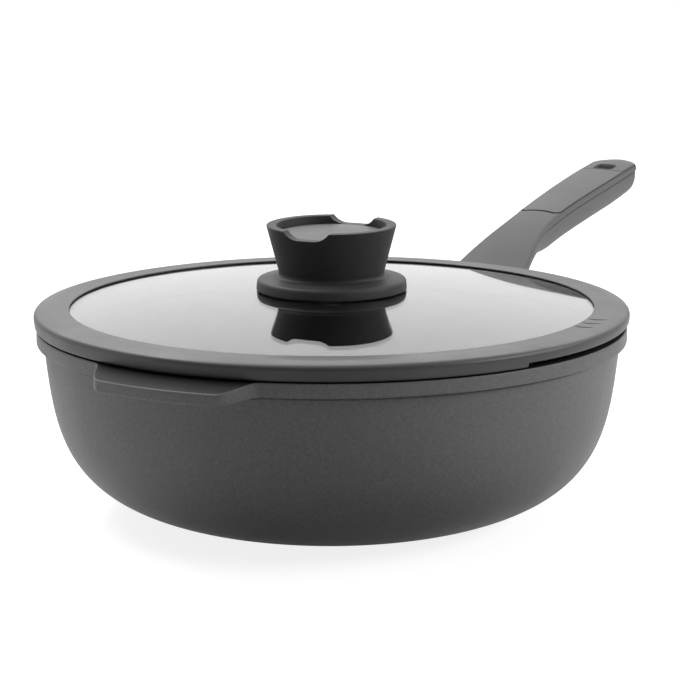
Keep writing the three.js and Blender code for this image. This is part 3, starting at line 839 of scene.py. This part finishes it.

# Lid ring
# A soft silicone rim moulded round the glass. It lies on the wok's rim, has a skirt inside the mouth,
# and on one side a slot with a comb behind it for pouring off water, marked by three short grooves.
# The skirt and comb are as dull as they leave the mould, and a darker tone on them is painted shade inside
# the slot.
lid_turn = 2.5
ring_taper = 0.8
ring_edge = 2.8
ring_crease = 7.2
crease_rise = 1.5
crease_ease = 0.5
ring_lip_edge = 0.6
ring_foot_edge = 1.3
ring_undercut = 3
undercut_rise = 0.5
glass_lip_cover = 1.6
skirt_clearance = 1.1
skirt_thickness = 3
skirt_depth = 7.4
skirt_taper = 0.8
slot_half_angle = 23.3
slot_height = 1.8
slot_middle = lid_turn - 90
slot_end = 0.05
slot_turn_step = 1
window_count = 9
window_width = 4.2
window_depth = 4
mark_turn = slot_middle + 5.5
mark_count = 3
mark_pitch = 4.3
mark_start = 128.6
mark_length = 9.4
mark_width = 2
mark_depth = 1.4
mark_bend = -1.8
mark_end_share = 0.45
mark_steps = 12
skirt_outer = mouth_radius - skirt_clearance
skirt_inner = skirt_outer - skirt_thickness


def ring_outline(turn):
    """The rim's section at a turn: the underside is lifted where the strainer slot is."""
    off_middle = turns_apart(turn, slot_middle)
    low = ring_bottom + (slot_height if off_middle < slot_half_angle else 0)
    side = ring_radius - ring_taper * (ring_top - low) / ring_height
    lip = ring_inner + glass_lip_cover
    seat = glass_radius + seat_gap
    corners = [
        (skirt_inner, ring_bottom - skirt_depth, skirt_taper),
        (skirt_outer - skirt_taper, ring_bottom - skirt_depth, skirt_taper / 2),
        (skirt_outer, ring_bottom - skirt_depth + 2 * skirt_taper, skirt_taper / 2),
        (skirt_outer, low, 0),
        (side - ring_undercut, low, 0),
        (side, low + undercut_rise, ring_foot_edge),
        (ring_radius, ring_top, ring_edge),
        (ring_radius - ring_crease, ring_top + crease_rise, crease_ease),
        (ring_inner, ring_top + ring_rise, ring_lip_edge),
        (ring_inner, dome_height(ring_inner) + seat_gap, 0),
        (seat, dome_height(seat) + seat_gap, 0),
        (seat, dome_height(seat) - glass_thickness - seat_gap, 0),
        (lip, dome_height(lip) - glass_thickness - seat_gap, 0),
        (lip, ring_bottom, 0),
        (skirt_inner, ring_bottom, 0),
    ]
    return eased_outline(corners)


def ring_turns():
    """Turns right round, with a close pair at each end of the slot so that its ends are square."""
    inside = round(2 * slot_half_angle / slot_turn_step)
    outside = round((360 - 2 * slot_half_angle) / slot_turn_step)
    half_in = slot_half_angle - slot_end
    half_out = slot_half_angle + slot_end
    slot = [slot_middle - half_in + 2 * half_in * i / inside for i in range(inside + 1)]
    rest = [slot_middle + half_out + (360 - 2 * half_out) * i / outside for i in range(outside + 1)]
    return slot + rest


def window_cutter(turn):
    """A block through the skirt, one gap of the strainer's comb."""
    low = (ring_inner - cut_margin, -window_width / 2, ring_bottom - window_depth)
    high = (skirt_outer + cut_margin, window_width / 2, ring_bottom + slot_height)
    tool = bar("window_cutter", low, high)
    tool.data.transform(Matrix.Rotation(math.radians(turn), 4, "Z"))
    return tool


def ring_top_height(radius):
    """Height of the ring's upper face at a radius inside its crease."""
    inward = (ring_radius - ring_crease - radius) / (ring_width - ring_crease)
    return ring_top + between(crease_rise, ring_rise, inward)


def mark_cutter(turn):
    """A shallow bent groove outward across the ring's inner strip, thin at both ends."""
    sections = []
    for i in range(mark_steps + 1):
        share = i / mark_steps
        radius = mark_start + mark_length * share
        angle = math.radians(turn) + mark_bend * math.sin(math.pi * share) / radius
        swell = max(math.sqrt(math.sin(math.pi * share)), mark_end_share)
        half = mark_width * swell / 2
        top = ring_top_height(radius)
        out = Vector((math.cos(angle), math.sin(angle), 0))
        aside = Vector((-out.y, out.x, 0))
        middle = out * radius
        profile = ((-half, cut_margin), (-half, 0), (0, -mark_depth * swell), (half, 0), (half, cut_margin))
        sections.append([middle + aside * y + Vector((0, 0, top + z)) for y, z in profile])
    return lofted("mark_cutter", sections, ring=False)


lid_rim = lofted("lid_rim", [turned_section(ring_outline(turn), turn) for turn in ring_turns()], ring=True)
window_pitch = 2 * slot_half_angle / (window_count + 1)
for i in range(window_count):
    cut(lid_rim, window_cutter(slot_middle - slot_half_angle + (i + 1) * window_pitch))
for i in range(mark_count):
    cut(lid_rim, mark_cutter(mark_turn + (i - (mark_count - 1) / 2) * mark_pitch))
smooth(lid_rim)
silicone = grained_finish(
    "grey_silicone", dark=(0.032, 0.032, 0.033), light=(0.047, 0.047, 0.048),
    roughness=(0.40, 0.48), grain=0.0009, relief=0.00003, gloss_level=0.45)
# A darker copy of the silicone: painted shade for the skirt and comb behind the strainer slot.
skirt_silicone_painted_shade = grained_finish(
    "dull_silicone_painted_shade", dark=(0.026, 0.026, 0.027), light=(0.038, 0.038, 0.039),
    roughness=(0.80, 0.88), grain=0.0009, relief=0.00003, gloss_level=0.04)
lid_rim.data.materials.append(silicone)
lid_rim.data.materials.append(skirt_silicone_painted_shade)
for face in lid_rim.data.polygons:
    middle = face.center / MM
    in_mouth = math.hypot(middle.x, middle.y) < skirt_outer + seat_gap
    face.material_index = 1 if in_mouth and middle.z < ring_bottom + slot_height else 0
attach(lid_rim, "lid")
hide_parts("lid_ring")

# Knob collar
# A broad disc of dark plastic that spreads the knob's pull over the glass; its underside fits the dome.
# The knob stands in a shallow seat on its slightly raised middle.
collar_radius = 36.8
collar_height = 5.4
collar_edge = 1.8
collar_taper = 0.5
collar_crown = 0.7
knob_foot_radius = 25.2
foot_sweep = 2.6
knob_turn_step = 2
screw_hole = screw_radius + seat_gap
seat_radius = knob_foot_radius + foot_sweep + seat_gap / 2
collar_top = dome_height(collar_radius) + seat_gap + collar_height


def collar_outline():
    """The collar's section: out under the dome, up the eased side and in over the crowned top."""
    radii = [between(screw_hole, collar_radius, i / dome_steps) for i in range(dome_steps)]
    under = [(r, dome_height(r) + seat_gap, 0) for r in radii]
    corners = under + [
        (collar_radius, dome_height(collar_radius) + seat_gap, collar_edge / 2),
        (collar_radius - collar_taper, collar_top, collar_edge),
        (seat_radius, collar_top + collar_crown + seat_gap, 0),
        (seat_radius, collar_top + collar_crown, 0),
        (screw_hole, collar_top + collar_crown, 0),
    ]
    return eased_outline(corners)


knob_collar = lathed("knob_collar_disc", collar_outline(), knob_turn_step)
smooth(knob_collar)
# A lighter copy of the knob's black plastic: painted light for the light the collar's top and sides lack.
knob_collar.data.materials.append(grained_finish(
    "collar_plastic_painted_light", dark=(0.044, 0.044, 0.045), light=(0.064, 0.064, 0.065),
    roughness=(0.50, 0.58), grain=0.0007, relief=0.00002, gloss_level=0.18))
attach(knob_collar, "lid")
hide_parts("knob_collar")

# Knob
# A flared cup moulded in black plastic, hollow underneath, with a boss for the threaded insert.
# Two notches opposite each other in its rim hold a spoon laid across the dish.
knob_turn = lid_turn + 3.9
knob_height = 25.4
knob_top_radius = 31.8
knob_edge = 0.7
knob_rim = 5
knob_wall = 3
dish_depth = 3.9
dish_slant = 1
notch_width = 24
notch_taper = 3
notch_corner = 4.9
notch_ease_steps = 10
cap_thickness = 2.4
cap_seat = 3
boss_wall = 3.4
insert_radius = 4.5
insert_length = 13
knob_fine_step = 1.5
knob_bottom = collar_top + collar_crown + seat_gap
knob_top = knob_bottom + knob_height
dish_floor = knob_top - dish_depth
cap_bottom = dish_floor - cap_thickness
web_top = cap_bottom - seat_gap
web_bottom = web_top - cap_seat
dish_floor_radius = knob_top_radius - knob_rim - dish_slant
boss_radius = insert_radius + seat_gap + boss_wall


def flare(height):
    """Radius of the knob's outside at a height."""
    return between(knob_foot_radius, knob_top_radius, (height - knob_bottom) / knob_height)


def knob_outline():
    """The knob's section: the socket, the boss, the hollow, the flared outside, the rim and the dish."""
    socket = insert_radius + seat_gap
    socket_top = knob_bottom + insert_length + 2 * seat_gap
    corners = [
        (0, socket_top, 0),
        (socket, socket_top, 0),
        (socket, knob_bottom, 0),
        (boss_radius, knob_bottom, 0),
        (boss_radius, web_bottom, 0),
        (min(flare(web_bottom) - knob_wall, dish_floor_radius), web_bottom, 0),
        (flare(knob_bottom) - knob_wall, knob_bottom, 0),
        (knob_foot_radius + foot_sweep, knob_bottom, 0),
        (knob_foot_radius, knob_bottom + seat_gap, foot_sweep),
        (knob_top_radius, knob_top, knob_edge),
        (knob_top_radius - knob_rim, knob_top, knob_edge),
        (dish_floor_radius, dish_floor, 0),
        (dish_floor_radius, web_top, 0),
        (0, web_top, 0),
    ]
    return eased_outline(corners)


def notch_cutter():
    """A channel right across the knob with leaning sides, rounded where they meet its floor."""
    half = notch_width / 2 - notch_taper
    lean = notch_taper / dish_depth
    reach = knob_top_radius + cut_margin
    high = knob_top + cut_margin
    spread = half + lean * (high - dish_floor)
    corners = [
        (-spread, high, 0),
        (-half, dish_floor, notch_corner),
        (half, dish_floor, notch_corner),
        (spread, high, 0),
    ]
    outline = eased_outline(corners, steps=notch_ease_steps)
    tool = lofted("notch_cutter", [[(x, y, z) for y, z in outline] for x in (-reach, reach)], ring=False)
    tool.data.transform(Matrix.Rotation(math.radians(knob_turn), 4, "Z"))
    return tool


knob_cup = lathed("knob_cup", knob_outline(), knob_fine_step)
cut(knob_cup, notch_cutter())
smooth(knob_cup)
knob_cup.data.materials.append(grained_finish(
    "knob_plastic", dark=(0.026, 0.026, 0.027), light=(0.040, 0.040, 0.041),
    roughness=(0.50, 0.58), grain=0.0007, relief=0.00002, gloss_level=0.18))
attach(knob_cup, "lid")
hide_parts("knob_body")

# Knob cap
# A thin disc of dark plastic, lighter than the knob, which is the floor of its dish.
# It is snapped into the top of the knob and closes it over the insert.
cap_edge = 0.3
cap_corners = [
    (0, cap_bottom, 0),
    (dish_floor_radius - seat_gap, cap_bottom, cap_edge),
    (dish_floor_radius - seat_gap, dish_floor, cap_edge),
    (0, dish_floor, 0),
]
dish_cap = lathed("dish_cap", eased_outline(cap_corners), knob_turn_step)
smooth(dish_cap)
dish_cap.data.materials.append(grained_finish(
    "cap_plastic", dark=(0.094, 0.094, 0.096), light=(0.122, 0.122, 0.124),
    roughness=(0.48, 0.56), grain=0.0007, relief=0.00003, gloss_level=0.22))
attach(dish_cap, "lid")
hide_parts("knob_cap")

# Knob fastening
# A brass insert pressed into the knob takes a crossed screw from under the glass,
# with a soft seal against the glass and a flat steel washer under the head.
seal_radius = 9
seal_thickness = 1.6
flat_washer_thickness = 1.2
knob_head_radius = 4.8
knob_head_height = 3
knob_head_edge = 1.0
knob_screw_bite = 10
seal_top = dome_height(seal_radius) - glass_thickness - seat_gap
knob_head_top = seal_top - seal_thickness - flat_washer_thickness - 2 * seat_gap
knob_screw = crossed_screw(
    "knob_screw_turned", knob_head_top, knob_bottom + seat_gap + knob_screw_bite,
    knob_head_radius, knob_head_height, knob_head_edge, screw_radius)
knob_screw.data.materials.append(plain_steel)
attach(knob_screw, "lid")
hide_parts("knob_screw")
insert_brass = turned_finish(
    "insert_brass", tone=(0.48, 0.31, 0.09), ring_size=0.0012, roughness=(0.26, 0.34))
dress("knob_washer", plain_steel)
dress("knob_seal", silicone)
dress("knob_insert", insert_brass)

# Floor and light
# A plain white table and surround, as in a studio with a lit backdrop: bright behind the wok, dark behind
# the camera, with painted shade on a strip of the table in front of the wok, and four soft lamps round it.
# The lamps' sizes and distance and the shaded strip are in metres.
# Away leads level from the camera to the back, and aside to its right.
handle_turn = math.radians(31)
away = Vector((math.cos(handle_turn), math.sin(handle_turn), 0))
aside = Vector((math.sin(handle_turn), -math.cos(handle_turn), 0))
up = Vector((0, 0, 1))
floor_radius = 9000
floor_sides = 96
floor_drop = 0.2
floor_glow = 0.84
floor_tone = 0.4
bounce_front = 0.55
bounce_beside = 0.9
shade_reach = 0.2
shade_from = 0.06
shade_to = 0.2
surround_lift = 1.6
surround_dark = 0.04
surround_bright = 1.53
surround_from = -0.2
surround_to = 1.0
ambient = 0.35
lamp_distance = 1.6


def joined(tree, operation, first, second):
    """Two values put together by one operation."""
    node = tree.nodes.new("ShaderNodeMath")
    node.operation = operation
    tree.links.new(first, node.inputs[0])
    tree.links.new(second, node.inputs[1])
    return node.outputs["Value"]


def distance_toward(tree, place, direction):
    """How far a place lies in a direction."""
    node = tree.nodes.new("ShaderNodeVectorMath")
    node.operation = "DOT_PRODUCT"
    node.inputs[1].default_value = direction
    tree.links.new(place, node.inputs[0])
    return node.outputs["Value"]


def seen_directly(tree, path, gloss):
    """1 for rays that show the surround itself, to the camera or through glass, and a share in a gloss."""
    to_camera = path.outputs["Is Camera Ray"]
    through = joined(tree, "MAXIMUM", to_camera, path.outputs["Is Transmission Ray"])
    return joined(tree, "MAXIMUM", through, gloss)


def softbox(name, back, right, rise, width, height, power):
    """A soft rectangular lamp that faces the wok, in the direction so far back, right and up."""
    direction = back * away + right * aside + rise * up
    data = bpy.data.lights.new(name, "AREA")
    data.shape = "RECTANGLE"
    data.size = width
    data.size_y = height
    data.energy = power
    lamp = bpy.data.objects.new(name, data)
    lamp.location = direction.normalized() * lamp_distance
    lamp.rotation_euler = direction.to_track_quat("Z", "Y").to_euler()
    bpy.context.scene.collection.objects.link(lamp)


table_turns = [2 * math.pi * i / floor_sides for i in range(floor_sides)]
table_edge = [(floor_radius * math.cos(turn), floor_radius * math.sin(turn)) for turn in table_turns]
table_levels = (-floor_drop - seat_gap, -floor_drop)
table = lofted("table", [[(x, y, z) for x, y in table_edge] for z in table_levels], ring=False)
table_white = bpy.data.materials.new("table_white")
table_white.use_nodes = True
tree = table_white.node_tree
nodes = tree.nodes
links = tree.links
nodes.remove(nodes["Principled BSDF"])
matte = nodes.new("ShaderNodeBsdfDiffuse")
shadowed = nodes.new("ShaderNodeBsdfDiffuse")
shadowed.inputs["Color"].default_value = (floor_tone, floor_tone, floor_tone, 1)
glow = nodes.new("ShaderNodeEmission")
glow.inputs["Strength"].default_value = floor_glow
both = nodes.new("ShaderNodeAddShader")
links.new(glow.outputs["Emission"], both.inputs[0])
links.new(shadowed.outputs["BSDF"], both.inputs[1])
place = nodes.new("ShaderNodeTexCoord").outputs["Object"]
sides = [distance_toward(tree, place, direction) for direction in (aside, -aside)]
beside = joined(tree, "MAXIMUM", *sides)
behind = nodes.new("ShaderNodeMath")
behind.inputs[1].default_value = shade_reach
links.new(distance_toward(tree, place, away), behind.inputs[0])
out_of_shade = joined(tree, "MAXIMUM", beside, behind.outputs["Value"])
# The strip's painted shade darkens the table's bounce colour and dims its glow in reflections.
clear_of_painted_shade = ranged(tree, out_of_shade, (shade_from, shade_to), (0, 1), eased=True)
bounce = ranged(tree, clear_of_painted_shade, (0, 1), (bounce_front, bounce_beside))
links.new(bounce, matte.inputs["Color"])
path = nodes.new("ShaderNodeLightPath")
gloss = joined(tree, "MULTIPLY", path.outputs["Is Glossy Ray"], clear_of_painted_shade)
choose = nodes.new("ShaderNodeMixShader")
links.new(seen_directly(tree, path, gloss), choose.inputs["Fac"])
links.new(matte.outputs["BSDF"], choose.inputs[1])
links.new(both.outputs["Shader"], choose.inputs[2])
links.new(choose.outputs["Shader"], nodes["Material Output"].inputs["Surface"])
table.data.materials.append(table_white)

surround = bpy.data.worlds.new("studio_surround")
surround.use_nodes = True
bpy.context.scene.world = surround
tree = surround.node_tree
nodes = tree.nodes
links = tree.links
backdrop = nodes["Background"]
place = nodes.new("ShaderNodeTexCoord").outputs["Generated"]
toward_back = distance_toward(tree, place, (away + surround_lift * up).normalized())
fade = ranged(tree, toward_back, (surround_from, surround_to), (surround_dark, surround_bright), eased=True)
path = nodes.new("ShaderNodeLightPath")
white = nodes.new("ShaderNodeMix")
white.inputs["B"].default_value = 1
links.new(fade, white.inputs["A"])
links.new(path.outputs["Is Camera Ray"], white.inputs["Factor"])
links.new(white.outputs["Result"], backdrop.inputs["Color"])
seen = seen_directly(tree, path, path.outputs["Is Glossy Ray"])
links.new(ranged(tree, seen, (0, 1), (ambient, 1)), backdrop.inputs["Strength"])

softbox("back_lamp", back=1, right=0, rise=0.95, width=2.4, height=0.4, power=10)
softbox("right_lamp", back=-0.25, right=1.1, rise=0.6, width=1.2, height=0.45, power=13.5)
softbox("left_lamp", back=-0.1, right=-1.15, rise=0.12, width=1.0, height=0.5, power=2.2)
softbox("upper_left_lamp", back=0.3, right=-0.5, rise=1, width=1.0, height=0.6, power=15)

# Camera
# A long lens slightly above the lid, on the side opposite the handle, turned and rolled a little.
# Its distance and height are in metres, its turns in radians.
camera_distance = 1.537
camera_height = 0.3895
camera_pan = 0.0026
camera_pitch = 0.1959
camera_roll = 0.0035
focal_pixels = 3200
image_pixels = 680
sensor_width = 36
look = (away + aside * math.tan(camera_pan)).normalized() * math.cos(camera_pitch)
look -= math.sin(camera_pitch) * up
level_right = look.cross(up).normalized()
level_up = level_right.cross(look)
right = level_right * math.cos(camera_roll) - level_up * math.sin(camera_roll)
upward = level_up * math.cos(camera_roll) + level_right * math.sin(camera_roll)
lens = bpy.data.cameras.new("camera")
lens.sensor_width = sensor_width
lens.lens = sensor_width * focal_pixels / image_pixels
camera = bpy.data.objects.new("camera", lens)
turned_frame = Matrix((right, upward, -look)).transposed().to_4x4()
camera_place = camera_height * up - camera_distance * away
camera.matrix_world = Matrix.Translation(camera_place) @ turned_frame
bpy.context.scene.collection.objects.link(camera)
bpy.context.scene.camera = camera
bpy.context.scene.view_settings.view_transform = "Standard"
